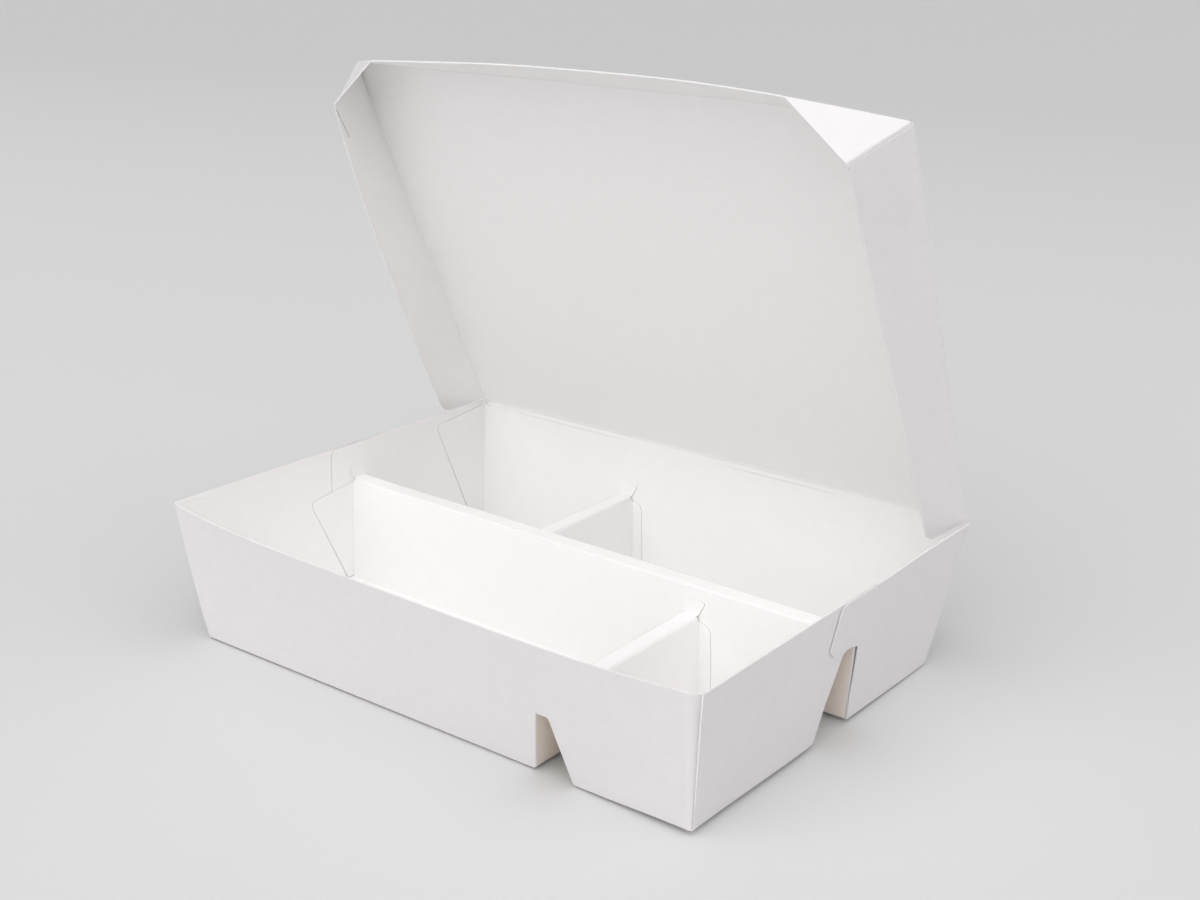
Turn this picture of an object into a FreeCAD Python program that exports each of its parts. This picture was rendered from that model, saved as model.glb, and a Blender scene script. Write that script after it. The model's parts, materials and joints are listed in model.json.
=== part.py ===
import FreeCAD, Part
import math
import os

# Four-compartment takeaway box, folded and glued from one sheet of white card.
# X runs along the length, Y from the front wall to the hinge wall, Z up.
# The origin is on the table, at the middle of the rim seen from above.

# Card
card = 0.5
fold_radius = 0.4
clearance = 0.3

# Tray
rim_length = 230.0
rim_width = 164.4
base_length = 215.1
base_width = 144.0
tray_height = 52.5

# Long ridge, the divider that runs from end to end
long_ridge_y = 5.3
long_ridge_height = 39.0
long_ridge_crest = 6.1
long_ridge_foot = 20.0

# Cross ridges, one in each trough
cross_ridge_height = 29.5
cross_ridge_crest = 5.8
cross_ridge_foot = 15.6
front_cross_x = 54.3
rear_cross_x = -32.1

# Mouth of a cross ridge's tunnel in the front wall
mouth_height = 24.0
mouth_foot = 16.1
mouth_top = 5.6
mouth_corner_radius = 1.2

# Mouth of the long ridge's tunnel in an end wall
end_mouth_height = 33.4
end_mouth_crown = 1.5
end_mouth_rear_foot = 9.9
end_mouth_rear_top = 4.6
end_mouth_front_top = 4.2
end_mouth_front_foot = 13.1
end_mouth_chamfer = 2.2
end_mouth_chamfer_height = 2.6
end_mouth_radius = 1.5

# Glue flaps on the inner face of each end wall
corner_flap_reach = 31.0
corner_flap_drop = 4.3
corner_flap_foot = 6.0
ridge_flap_reach = 23.4
ridge_flap_drop = 4.2
ridge_flap_heel = 3.4
crest_tab_height = 4.6
crest_tab_margin = 1.4
flap_corner_radius = 2.0
tab_corner_radius = 1.0

# Seam where the two halves of an end wall overlap
seam_front = 8.0
seam_rear = 19.0
seam_ramp = 7.0
seam_low = 1.0
seam_slant = 1.5
seam_corner_radius = 3.0

# Tabs of a cross ridge on the wall behind it
crest_tab_rise = 5.0
crest_tab_side = 2.4
side_tab_reach = 5.0
side_tab_top = 2.0
side_tab_radius = 4.0

# Lid
lid_open_angle = 65.5
lid_length = 159.2
lid_front_spread = 1.4
lid_side_lean = 19.1
lid_start = 0.5
side_front_depth = 23.9
side_front_setback = 1.3
side_rear_depth = 17.6
side_rear_setback = 4.6
side_rear_radius = 3.5
flap_edge_setin = 30.3
flap_edge_reach = 14.6
flap_edge_depth = 17.4
gusset_flap_reach = 16.0
gusset_flap_taper = 4.0
gusset_flap_setback = 1.5

half_rim_length = rim_length / 2
half_rim_width = rim_width / 2
half_base_length = base_length / 2
half_base_width = base_width / 2
end_taper = math.atan2(half_rim_length - half_base_length, tray_height)
hinge_y = half_rim_width - card / 2
hinge_z = tray_height
ridge_front_foot = long_ridge_y - long_ridge_foot / 2
ridge_rear_foot = long_ridge_y + long_ridge_foot / 2
ridge_front_crest = long_ridge_y - long_ridge_crest / 2
ridge_rear_crest = long_ridge_y + long_ridge_crest / 2
ridge_underside = long_ridge_height - card
beyond = rim_length


def vector(x, y, z):
    return FreeCAD.Vector(x, y, z)


def turn(before, corner, after):
    """Return the unit directions into and out of a corner, and the signed turn."""
    arriving = (corner - before).normalize()
    leaving = (after - corner).normalize()
    cross = arriving.x * leaving.y - arriving.y * leaving.x
    return arriving, leaving, math.atan2(cross, arriving.dot(leaving))


def outline(corners):
    """Return flat edges round the corners (u, v, radius), with an arc at each radius."""
    points = [vector(u, v, 0) for u, v, radius in corners]
    stations = []
    for index, (u, v, radius) in enumerate(corners):
        after = points[(index + 1) % len(points)]
        arriving, leaving, angle = turn(points[index - 1], points[index], after)
        reach = radius * math.tan(abs(angle) / 2)
        start = points[index] - arriving * reach
        end = points[index] + leaving * reach
        inward = (leaving - arriving).normalize()
        middle = points[index] + inward * (radius / math.cos(angle / 2) - radius)
        stations.append((start, middle, end, reach > 0))
    edges = []
    for index, (start, middle, end, rounded) in enumerate(stations):
        if rounded:
            edges.append(Part.Arc(start, middle, end).toShape())
        following = stations[(index + 1) % len(stations)][0]
        edges.append(Part.LineSegment(end, following).toShape())
    return Part.Wire(edges)


def sharp(points):
    """Return the points as corners with no radius."""
    return [(u, v, 0) for u, v in points]


def along_x(corners, start=-beyond, end=beyond):
    """Return a prism whose (y, z) outline runs along X from start to end."""
    wire = outline(corners)
    wire.Placement = FreeCAD.Placement(
        FreeCAD.Matrix(0, 0, 1, start, 1, 0, 0, 0, 0, 1, 0, 0, 0, 0, 0, 1))
    return Part.Face(wire).extrude(vector(end - start, 0, 0))


def along_y(corners, start=-beyond, end=beyond):
    """Return a prism whose (x, z) outline runs along Y from start to end."""
    wire = outline(corners)
    wire.Placement = FreeCAD.Placement(
        FreeCAD.Matrix(1, 0, 0, 0, 0, 0, -1, start, 0, 1, 0, 0, 0, 0, 0, 1))
    return Part.Face(wire).extrude(vector(0, end - start, 0))


def shifted(points, distance):
    """Return a broken line moved to its left by a distance, with mitred corners."""
    flat = [vector(u, v, 0) for u, v in points]
    moved = []
    for index, point in enumerate(flat):
        before = flat[index - 1] if index else point * 2 - flat[1]
        after = flat[index + 1] if index + 1 < len(flat) else point * 2 - flat[-2]
        arriving, leaving, angle = turn(before, point, after)
        left = vector(-arriving.y - leaving.y, arriving.x + leaving.x, 0).normalize()
        mitre = point + left * (distance / math.cos(angle / 2))
        moved.append((mitre.x, mitre.y))
    return moved


def folded_strip(points):
    """Return the section of a folded card whose outer face follows the points."""
    flat = [vector(u, v, 0) for u, v in points]
    outer_radii = [0]
    inner_radii = [0]
    for index in range(1, len(points) - 1):
        angle = turn(flat[index - 1], flat[index], flat[index + 1])[2]
        outer_radii.append(fold_radius + card if angle > 0 else fold_radius)
        inner_radii.append(fold_radius if angle > 0 else fold_radius + card)
    outer_radii.append(0)
    inner_radii.append(0)
    outer = [(u, v, r) for (u, v), r in zip(points, outer_radii)]
    inner = [(u, v, r) for (u, v), r in zip(shifted(points, card), inner_radii)]
    return outer + inner[::-1]


def layer(points, first, last):
    """Return the flat section between two distances inside a line of two points."""
    return sharp(shifted(points, first) + shifted(points, last)[::-1])


# Lines of the outer faces, in the order that keeps the food side on their left
front_wall_line = [(-half_rim_width, tray_height), (-half_base_width, 0)]
rear_wall_line = [(half_base_width, 0), (half_rim_width, tray_height)]
ridge_front_line = [(ridge_front_foot, 0), (ridge_front_crest, ridge_underside)]
ridge_rear_line = [(ridge_rear_crest, ridge_underside), (ridge_rear_foot, 0)]
cross_section_line = front_wall_line + ridge_front_line + ridge_rear_line + rear_wall_line
long_section_line = [(-half_rim_length, tray_height), (-half_base_length, 0),
                     (half_base_length, 0), (half_rim_length, tray_height)]


def tub(rim_half, base_half, inset=0):
    """Return the outline of the space between two facing walls, rounded at the foot."""
    aside = inset * math.hypot(1, (rim_half - base_half) / tray_height)
    foot_radius = fold_radius + card
    rim = rim_half - aside
    base = base_half - aside
    return [(-rim, tray_height, 0), (-base, 0, foot_radius),
            (base, 0, foot_radius), (rim, tray_height, 0)]


def end_mouth():
    """Return the outline cut from an end wall where the long tunnel comes out."""
    crown = end_mouth_height
    shoulder = crown - end_mouth_crown
    front_foot = long_ridge_y - end_mouth_front_foot
    return [
        (long_ridge_y + end_mouth_rear_foot, -beyond, 0),
        (long_ridge_y + end_mouth_rear_foot, 0, 0),
        (long_ridge_y + end_mouth_rear_top, shoulder, end_mouth_radius),
        (long_ridge_y, crown, end_mouth_radius),
        (long_ridge_y - end_mouth_front_top, shoulder, end_mouth_radius),
        (front_foot, end_mouth_chamfer_height, end_mouth_radius),
        (front_foot - end_mouth_chamfer, 0, 0),
        (front_foot - end_mouth_chamfer, -beyond, 0),
    ]


def walls_and_floor():
    """Return the troughs with the long ridge, and the end walls folded up from them."""
    troughs = along_x(folded_strip(cross_section_line))
    troughs = troughs.common(along_y(tub(half_rim_length, half_base_length, card)))
    ends = along_y(folded_strip(long_section_line))
    ends = ends.common(along_x(tub(half_rim_width, half_base_width)))
    ends = ends.cut(along_x(end_mouth()))
    hinge_relief = Part.makeBox(
        rim_length, 2 * card, beyond,
        vector(-half_rim_length + card, hinge_y - card, hinge_z - clearance))
    return troughs.fuse(ends).cut(hinge_relief)


def cross_ridge_section(centre):
    """Return the section of a cross ridge, with a short stretch of floor each side."""
    foot = cross_ridge_foot / 2
    crest = cross_ridge_crest / 2
    lead = foot + fold_radius + 2 * card
    top = cross_ridge_height - card
    return folded_strip([
        (centre - lead, 0), (centre - foot, 0), (centre - crest, top),
        (centre + crest, top), (centre + foot, 0), (centre + lead, 0)])


def trough_region(first_wall, second_wall):
    """Return a block between the middles of two facing walls' card."""
    first = shifted(first_wall, card / 2)
    second = shifted(second_wall, card / 2)
    return along_x(sharp(first + second))


def floor_opening(centre, first_y, second_y):
    """Return the block of floor that a cross ridge takes up."""
    lead = cross_ridge_foot / 2 + fold_radius + 2 * card
    return Part.makeBox(2 * lead, second_y - first_y, 3 * card,
                        vector(centre - lead, first_y, -card))


def mouth(centre):
    """Return the cut in the front wall where a cross ridge's tunnel comes out."""
    foot = mouth_foot / 2
    top = mouth_top / 2
    corners = [(centre - foot, 0, 0), (centre + foot, 0, 0),
               (centre + top, mouth_height, mouth_corner_radius),
               (centre - top, mouth_height, mouth_corner_radius)]
    return along_y(corners, -beyond, ridge_front_foot - card)


def cross_ridge_tabs(centre, wall, region):
    """Return the tabs that hold a cross ridge to the wall behind it."""
    crest = cross_ridge_crest / 2
    foot = cross_ridge_foot / 2
    top = cross_ridge_height
    crest_tab = [
        (centre - crest, top - card, 0), (centre + crest, top - card, 0),
        (centre + crest + crest_tab_side, top + crest_tab_rise, tab_corner_radius),
        (centre - crest - crest_tab_side, top + crest_tab_rise, tab_corner_radius)]
    side_tab = [
        (centre + crest, top - side_tab_top, 0), (centre + foot, 0, 0),
        (centre + foot + side_tab_reach, card, tab_corner_radius),
        (centre + crest + side_tab_reach, top - side_tab_top, side_tab_radius)]
    sheet = along_x(layer(wall, card, 2 * card)).common(region)
    return sheet.common(along_y(crest_tab)).fuse(sheet.common(along_y(side_tab)))


def corner_flap(side):
    """Return the glue flap beside a corner, on side -1 (front) or 1 (rear)."""
    reach = half_rim_width - corner_flap_reach
    foot = half_base_width - corner_flap_foot
    points = [(side * half_rim_width, tray_height, 0),
              (side * reach, tray_height - corner_flap_drop, flap_corner_radius),
              (side * foot, card, 0), (side * half_base_width, card, 0)]
    return along_x(points).common(along_x(tub(half_rim_width, half_base_width)))


def ridge_flap(side):
    """Return the glue flap of one wall of the long ridge, on side -1 or 1."""
    crest = long_ridge_y + side * (long_ridge_crest / 2 - card)
    foot = long_ridge_y + side * (long_ridge_foot / 2 - card)
    heel = long_ridge_y + side * (long_ridge_foot / 2 + ridge_flap_heel)
    tip = long_ridge_y + side * (long_ridge_crest / 2 + ridge_flap_reach)
    return along_x([
        (foot, card, 0), (heel, card, 0),
        (tip, long_ridge_height - ridge_flap_drop, flap_corner_radius),
        (crest, long_ridge_height - card, 0)])


def crest_tab():
    """Return the outline block of the tab at an end of the long ridge's crest."""
    half = long_ridge_crest / 2 + crest_tab_margin
    low = long_ridge_height - ridge_flap_drop / 2
    high = long_ridge_height + crest_tab_height
    return along_x([
        (long_ridge_y - half, low, 0), (long_ridge_y + half, low, 0),
        (long_ridge_y + half, high, tab_corner_radius),
        (long_ridge_y - half, high, tab_corner_radius)])


def end_flaps(end):
    """Return every glue flap inside one end wall, on side -1 (left) or 1 (right)."""
    wall = [(half_base_length, 0), (half_rim_length, tray_height)]
    sheet = along_y(layer(wall, card, 2 * card))
    if end < 0:
        sheet = sheet.mirror(vector(0, 0, 0), vector(1, 0, 0))
    outlines = [corner_flap(-1), corner_flap(1), ridge_flap(-1), ridge_flap(1), crest_tab()]
    flaps = [sheet.common(shape) for shape in outlines]
    return flaps[0].fuse(flaps[1:])


def seam_tab(outside):
    """Return the overlap in the right end wall, outside or inside the front half."""
    front = long_ridge_y - end_mouth_front_foot - (seam_front - seam_slant) / 2
    low = end_mouth_height + seam_low
    rear = long_ridge_y + seam_rear
    rise = math.tan(end_taper)
    away = card / math.cos(end_taper)
    start = half_base_length if outside else half_base_length - away
    step = away if outside else -away
    plan = [(start, front), (start + step, front), (start + step, rear - seam_ramp),
            (start, rear)]
    base = Part.makePolygon([vector(x, y, 0) for x, y in plan + plan[:1]])
    lean = vector(tray_height * rise, 0, tray_height)
    sheet = Part.Face(base).extrude(lean)
    shape = along_x([
        (front + seam_slant, tray_height, seam_corner_radius),
        (front, low + seam_slant, tab_corner_radius),
        (front + seam_corner_radius, low, tab_corner_radius),
        (rear, low, 0), (rear, tray_height, 0)])
    return sheet.common(shape)


def tray():
    """Return the tray: troughs, end walls, ridges, and every flap glued to them."""
    shape = walls_and_floor()
    front_region = trough_region(front_wall_line, ridge_front_line)
    rear_region = trough_region(ridge_rear_line, rear_wall_line)
    shape = shape.cut(floor_opening(front_cross_x, -half_rim_width, ridge_front_foot))
    shape = shape.cut(floor_opening(rear_cross_x, ridge_rear_foot, half_base_width))
    shape = shape.cut(mouth(front_cross_x))
    front_ridge = along_y(cross_ridge_section(front_cross_x)).common(front_region)
    rear_ridge = along_y(cross_ridge_section(rear_cross_x)).common(rear_region)
    left_seam = seam_tab(False).mirror(vector(0, 0, 0), vector(1, 0, 0))
    pieces = [
        front_ridge, rear_ridge,
        cross_ridge_tabs(front_cross_x, ridge_front_line, front_region),
        cross_ridge_tabs(rear_cross_x, rear_wall_line, rear_region),
        end_flaps(-1), end_flaps(1), seam_tab(True), left_seam]
    return shape.fuse(pieces).removeSplitter()


def lid_point(x, along, depth):
    """Return a point of the closed lid, from its distance along and below the hinge."""
    return vector(x, hinge_y - along, hinge_z - depth)


def lid_half(hinge_half, front_half):
    """Return the lid's top from its middle to the right, folded down into the side."""
    drop = side_front_depth + 2 * card
    lean = drop * math.tan(math.radians(lid_side_lean))
    spread = front_half - hinge_half
    line = [(hinge_half - lean, hinge_z + card - drop), (hinge_half, hinge_z + card),
            (-spread - card, hinge_z + card)]
    half = along_y(folded_strip(line), hinge_y - lid_length - spread, hinge_y + spread)
    splay = math.degrees(math.atan2(spread, lid_length))
    half.rotate(vector(hinge_half, hinge_y, hinge_z), vector(0, 0, 1), splay)
    return half


def slab(points, towards, first=0.0, last=card):
    """Return a flat sheet on the outer points, between two depths on the inner side."""
    normal = (points[1] - points[0]).cross(points[2] - points[0]).normalize()
    if normal.dot(towards - points[0]) < 0:
        normal = normal * -1
    wire = Part.makePolygon([point + normal * first for point in points + points[:1]])
    return Part.Face(wire).extrude(normal * (last - first))


def lid_side_outline():
    """Return the lid's outline seen from one end, as corners in (y, z)."""
    front_y = hinge_y - lid_length
    return [
        (hinge_y - lid_start, hinge_z + 2 * card, 0),
        (hinge_y - lid_start, hinge_z, 0),
        (hinge_y - side_rear_setback, hinge_z - side_rear_depth, side_rear_radius),
        (front_y + side_front_setback, hinge_z - side_front_depth, 0),
        (front_y, hinge_z + card, 0), (front_y, hinge_z + 2 * card, 0)]


def lid():
    """Return the lid at its resting angle: top, sides, front flap and corner gussets."""
    hinge_half = half_rim_length - 2 * card - clearance
    front_half = hinge_half + lid_front_spread
    half = lid_half(hinge_half, front_half)
    other = half.mirror(vector(0, 0, 0), vector(1, 0, 0))
    shape = half.fuse(other).common(along_x(lid_side_outline()))
    heart = lid_point(0, lid_length / 2, side_front_depth / 2)
    fold = [lid_point(side * front_half, lid_length, -card) for side in (-1, 1)]
    edge_half = front_half - flap_edge_setin
    edge = [lid_point(side * edge_half, lid_length + flap_edge_reach, flap_edge_depth)
            for side in (-1, 1)]
    pieces = [slab([fold[0], fold[1], edge[1], edge[0]], heart)]
    lean = math.tan(math.radians(lid_side_lean))
    for side, top, tip in zip((-1, 1), fold, edge):
        low_x = side * (front_half - (side_front_depth + card) * lean)
        low = lid_point(low_x, lid_length - side_front_setback, side_front_depth)
        pieces.append(slab([top, tip, low], heart))
        hinge_corner = lid_point(side * hinge_half, 0, -card)
        back = (hinge_corner - top).normalize()
        inward = (low - top).normalize() * gusset_flap_taper
        start = back * gusset_flap_setback
        end = back * gusset_flap_reach
        glue_flap = [top + start + inward, top + end + inward, low + end - inward, low + start]
        pieces.append(slab(glue_flap, heart, card, 2 * card))
    shape = shape.fuse(pieces).removeSplitter()
    shape.rotate(vector(0, hinge_y, hinge_z), vector(-1, 0, 0), lid_open_angle)
    return shape


def main():
    """Write each piece of the box to its own file."""
    os.makedirs("parts", exist_ok=True)
    for name, shape in (("tray", tray()), ("lid", lid())):
        solid = shape.Solids[0]
        print(name, len(shape.Solids), shape.isValid(), round(shape.Volume), shape.BoundBox)
        solid.exportStep("parts/" + name + ".step")


main()
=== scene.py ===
"""White four-compartment takeaway box, folded and glued from one sheet of coated card."""
import json
import logging
import math
from dataclasses import dataclass, field
from enum import Enum
from functools import partial
from typing import Any, Callable, Optional, Sequence

import bmesh
import bpy
from mathutils import Matrix, Vector, noise
from mathutils.geometry import intersect_line_line


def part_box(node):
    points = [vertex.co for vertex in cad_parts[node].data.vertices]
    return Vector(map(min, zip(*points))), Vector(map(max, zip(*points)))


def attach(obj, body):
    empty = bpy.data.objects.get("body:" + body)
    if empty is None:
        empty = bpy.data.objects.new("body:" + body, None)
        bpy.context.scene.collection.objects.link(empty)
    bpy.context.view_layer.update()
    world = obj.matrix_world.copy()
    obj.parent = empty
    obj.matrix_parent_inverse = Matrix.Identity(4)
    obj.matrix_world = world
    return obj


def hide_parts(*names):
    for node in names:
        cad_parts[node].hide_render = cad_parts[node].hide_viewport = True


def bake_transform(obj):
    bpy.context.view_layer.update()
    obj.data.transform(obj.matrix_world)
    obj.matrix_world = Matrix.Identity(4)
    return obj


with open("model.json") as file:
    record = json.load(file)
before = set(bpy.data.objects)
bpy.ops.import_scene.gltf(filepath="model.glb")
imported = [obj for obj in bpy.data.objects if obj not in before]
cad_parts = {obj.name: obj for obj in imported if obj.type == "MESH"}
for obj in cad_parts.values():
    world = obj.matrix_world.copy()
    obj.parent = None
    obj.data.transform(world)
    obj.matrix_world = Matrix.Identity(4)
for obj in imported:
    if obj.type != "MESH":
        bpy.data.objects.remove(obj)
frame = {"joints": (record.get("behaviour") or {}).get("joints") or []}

log = logging.getLogger("takeaway_box")

MM = 0.001
CARD = 0.5
SEAT = 0.05
CREASE_TRIM = 0.7
CORNER_TRIM = 0.25
CREASE_STEPS = 5
ARC_STEPS = 5
WELD = 0.004
SHARP_ANGLE = math.radians(32)
FLAT_FACE_WEIGHT = 80
SLICE = 7.0
LID_DEPTH_SLICE = 3.0

Place = Callable[[float, float], Vector]


class Part(Enum):
    """Regions of card that bend in a way of their own."""

    PLAIN = 1
    RIGHT_OVERLAP = 2
    LEFT_OVERLAP = 3
    FRONT_FLAP = 4
    GLUE_FLAP = 5
    TUNNEL = 6


def to_linear(colour: str) -> tuple[float, float, float, float]:
    """Turn an sRGB hex colour to the linear values that the shader takes.

    Args:
        colour: the colour, such as "#F2F1F0".

    Returns:
        Red, green, blue and an alpha of 1.
    """
    values = [int(colour[start:start + 2], 16) / 255 for start in (1, 3, 5)]
    linear = [v / 12.92 if v <= 0.04045 else ((v + 0.055) / 1.055) ** 2.4 for v in values]
    return linear[0], linear[1], linear[2], 1.0


def add_node(tree: bpy.types.NodeTree, kind: str, inputs: Optional[dict] = None,
             **settings: Any) -> bpy.types.Node:
    """Add a node with its settings and links.

    Args:
        tree: the material's node tree.
        kind: the node's type name.
        inputs: for each input, by name or number, a value or the socket that feeds it.
        settings: the node's own settings.

    Returns:
        The new node.
    """
    node = tree.nodes.new(kind)
    for name, value in settings.items():
        setattr(node, name, value)
    for key, value in (inputs or {}).items():
        if isinstance(value, bpy.types.NodeSocket):
            tree.links.new(value, node.inputs[key])
        else:
            node.inputs[key].default_value = value
    return node


def ramp(tree: bpy.types.NodeTree, value: bpy.types.NodeSocket,
         stops: Sequence[tuple[float, str]]) -> bpy.types.NodeSocket:
    """Add a colour ramp.

    Args:
        tree: the material's node tree.
        value: what drives the ramp.
        stops: each stop's place and hex colour, in order.

    Returns:
        The ramp's colour.
    """
    node = add_node(tree, "ShaderNodeValToRGB", {"Fac": value})
    elements = node.color_ramp.elements
    while len(elements) < len(stops):
        elements.new(1.0)
    for element, (place, colour) in zip(elements, stops):
        element.position = place
        element.color = to_linear(colour)
    return node.outputs["Color"]


def new_material(name: str) -> tuple[bpy.types.Material, bpy.types.NodeTree]:
    """Return an empty node material and its tree."""
    material = bpy.data.materials.new(name)
    material.use_nodes = True
    material.node_tree.nodes.clear()
    return material, material.node_tree


def noise_field(tree: bpy.types.NodeTree, place: bpy.types.NodeSocket, millimetres: float,
                detail: float, roughness: float = 0.5) -> bpy.types.NodeSocket:
    """Add fractal noise.

    Args:
        tree: the material's node tree.
        place: the coordinates that the noise is drawn in.
        millimetres: the real size of its largest blots.
        detail: how many finer layers it has.
        roughness: how strong the finer layers are.

    Returns:
        The noise, from 0 to 1.
    """
    scale = 1.0 / (millimetres * MM)
    node = add_node(tree, "ShaderNodeTexNoise", {
        "Vector": place, "Scale": scale, "Detail": detail, "Roughness": roughness})
    return node.outputs["Fac"]


def relief(tree: bpy.types.NodeTree, height: bpy.types.NodeSocket, strength: float,
           millimetres: float, below: Optional[bpy.types.NodeSocket] = None,
           ) -> bpy.types.NodeSocket:
    """Add a bump of this real depth, over a coarser one.

    Args:
        tree: the material's node tree.
        height: what the relief follows.
        strength: how much of it shows.
        millimetres: its real depth.
        below: the normal of the coarser relief.

    Returns:
        The normal of both.
    """
    inputs = {"Height": height, "Strength": strength, "Distance": millimetres * MM}
    if below is not None:
        inputs["Normal"] = below
    return add_node(tree, "ShaderNodeBump", inputs).outputs["Normal"]


def add_surface(tree: bpy.types.NodeTree, inputs: dict) -> None:
    """Give the material a surface with these inputs."""
    shader = add_node(tree, "ShaderNodeBsdfPrincipled", inputs)
    add_node(tree, "ShaderNodeOutputMaterial", {"Surface": shader.outputs["BSDF"]})


@dataclass(frozen=True)
class FoldingBoard:
    """Solid bleached folding board, calendered on the machine; these are its bare outer faces.

    The eye gets an even white with a faint cloudiness of the fibres, a soft sheen with
    no clear reflection, and creases where the surface is a little broken.
    """

    name: str = "calendered_board_painted_shade"
    # painted shade in part: the outer faces are a greyer white than the food face, for the dimmer
    # light outside
    pale: str = "#EBE8E9"
    cloud: str = "#E8E5E6"
    crease: str = "#F0EDEE"
    roughness_low: float = 0.54
    roughness_high: float = 0.64
    ior: float = 1.50
    cloud_mm: float = 5.0
    fibre_width_mm: float = 0.35
    fibre_length_mm: float = 1.6
    fibre_depth_mm: float = 0.03
    cockle_mm: float = 34.0
    cockle_depth_mm: float = 0.4
    break_mm: float = 0.5
    crack_depth_mm: float = 0.05

    def build(self) -> bpy.types.Material:
        """Return the board's material."""
        material, tree = new_material(self.name)
        place = add_node(tree, "ShaderNodeTexCoord").outputs["Object"]
        cloud = noise_field(tree, place, self.cloud_mm, 5.0, 0.62)
        colour = ramp(tree, cloud, [(0.30, self.cloud), (0.70, self.pale)])
        creased = add_node(tree, "ShaderNodeAttribute", attribute_name="crease")
        breaks = noise_field(tree, place, self.break_mm, 3.0)
        worn = add_node(tree, "ShaderNodeMath", {0: creased.outputs["Fac"], 1: breaks},
                        operation="MULTIPLY").outputs[0]
        mixed = add_node(tree, "ShaderNodeMix", {
            "Factor": worn, "A": colour, "B": to_linear(self.crease)}, data_type="RGBA")
        grain = (self.fibre_width_mm / self.fibre_length_mm, 1.0, 1.0)
        stretched = add_node(tree, "ShaderNodeMapping", {"Vector": place, "Scale": grain})
        # Real fibres are 0.02 mm wide; they are drawn coarser so that they show
        fibre = noise_field(tree, stretched.outputs["Vector"], self.fibre_width_mm, 4.0, 0.7)
        rough = add_node(tree, "ShaderNodeMapRange", {
            "Value": fibre, "To Min": self.roughness_low, "To Max": self.roughness_high})
        cockle = noise_field(tree, place, self.cockle_mm, 2.0)
        slow = relief(tree, cockle, 0.25, self.cockle_depth_mm)
        cracked = relief(tree, worn, 0.3, self.crack_depth_mm, slow)
        fine = relief(tree, fibre, 0.22, self.fibre_depth_mm, cracked)
        add_surface(tree, {
            "Base Color": mixed.outputs["Result"], "Roughness": rough.outputs["Result"],
            "IOR": self.ior, "Normal": fine})
        return material


@dataclass(frozen=True)
class CoatedFoodFacePaintedLight(FoldingBoard):
    """The board's food side, blade-coated with matt white clay.

    The eye gets a brighter, slightly warmer white. This is partly the clay coat and partly
    painted light, which stands in for the light bounced around the compartments.
    """

    name: str = "clay_coated_food_face_painted_light"
    # painted light in part: brighter than the outer board, for the light bounced inside the
    # compartments
    pale: str = "#F8F6F6"
    cloud: str = "#F6F4F4"
    crease: str = "#EBE9E9"
    roughness_low: float = 0.50
    roughness_high: float = 0.60


@dataclass(frozen=True)
class TunnelBoardPaintedLight(FoldingBoard):
    """The board's outer face inside the tunnels, with light painted into its colour.

    The eye gets a brighter, warm cream tone. It is painted in for the light that comes through
    the thin sheet and bounces inside the tunnel, losing some of its blue.
    """

    name: str = "tunnel_board_painted_light"
    # painted light: these colours are brighter and warmer than the outer board, for the light in
    # the tunnels
    pale: str = "#FDF3E9"
    cloud: str = "#FAEFE4"
    crease: str = "#F4EDE6"


@dataclass(frozen=True)
class BoardFinishes:
    """The surfaces of a sheet of board."""

    tunnel: bpy.types.Material
    outer: bpy.types.Material
    food: bpy.types.Material
    edge: bpy.types.Material


@dataclass(frozen=True)
class CutBoardEdge:
    """The board's bare pulp where the die cut it, pressed and slightly furry.

    The eye gets a thin soft line without any gloss, as light seeps through the bare pulp.
    """

    name: str = "die_cut_pulp_edge"
    pale: str = "#F5F3F2"
    dull: str = "#E9E7E5"
    roughness: float = 0.85
    ior: float = 1.47
    fibre_mm: float = 0.25
    fur_depth_mm: float = 0.05
    glow_weight: float = 1.0
    glow_mm: float = 2.0

    def build(self) -> bpy.types.Material:
        """Return the cut edge's material."""
        material, tree = new_material(self.name)
        place = add_node(tree, "ShaderNodeTexCoord").outputs["Object"]
        fur = noise_field(tree, place, self.fibre_mm, 3.0)
        colour = ramp(tree, fur, [(0.25, self.dull), (0.65, self.pale)])
        add_surface(tree, {
            "Base Color": colour, "Roughness": self.roughness, "IOR": self.ior,
            "Subsurface Weight": self.glow_weight, "Subsurface Scale": self.glow_mm * MM,
            "Subsurface Radius": (1.0, 1.0, 1.0),
            "Normal": relief(tree, fur, 0.4, self.fur_depth_mm)})
        return material


@dataclass(frozen=True)
class PaintedFloor:
    """The studio's pale grey sweep, painted matt with a wide roller.

    The eye gets an even grey with no gloss, with painted shade that makes it a little darker
    far from the camera, where the light falls off.
    """

    name: str = "matt_floor_painted_shade"
    near: str = "#DADADA"
    # painted shade: the far colour stands in for the light falling off away from the camera
    far: str = "#CACACA"
    roughness: float = 0.9
    near_m: float = -0.3
    painted_shade_far_m: float = 2.2
    away_azimuth: float = 12.0

    def build(self) -> bpy.types.Material:
        """Return the floor's material."""
        material, tree = new_material(self.name)
        place = add_node(tree, "ShaderNodeTexCoord").outputs["Object"]
        turned = add_node(tree, "ShaderNodeMapping", {
            "Vector": place, "Rotation": (0.0, 0.0, math.radians(-self.away_azimuth))})
        axes = add_node(tree, "ShaderNodeSeparateXYZ", {"Vector": turned.outputs["Vector"]})
        # the painted shade grows with the distance from the camera
        distance = add_node(tree, "ShaderNodeMapRange", {
            "Value": axes.outputs["Y"], "From Min": self.near_m, "From Max": self.painted_shade_far_m},
            interpolation_type="SMOOTHSTEP")
        colour = ramp(tree, distance.outputs["Result"], [(0.0, self.near), (1.0, self.far)])
        add_surface(tree, {"Base Color": colour, "Roughness": self.roughness})
        return material


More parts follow.
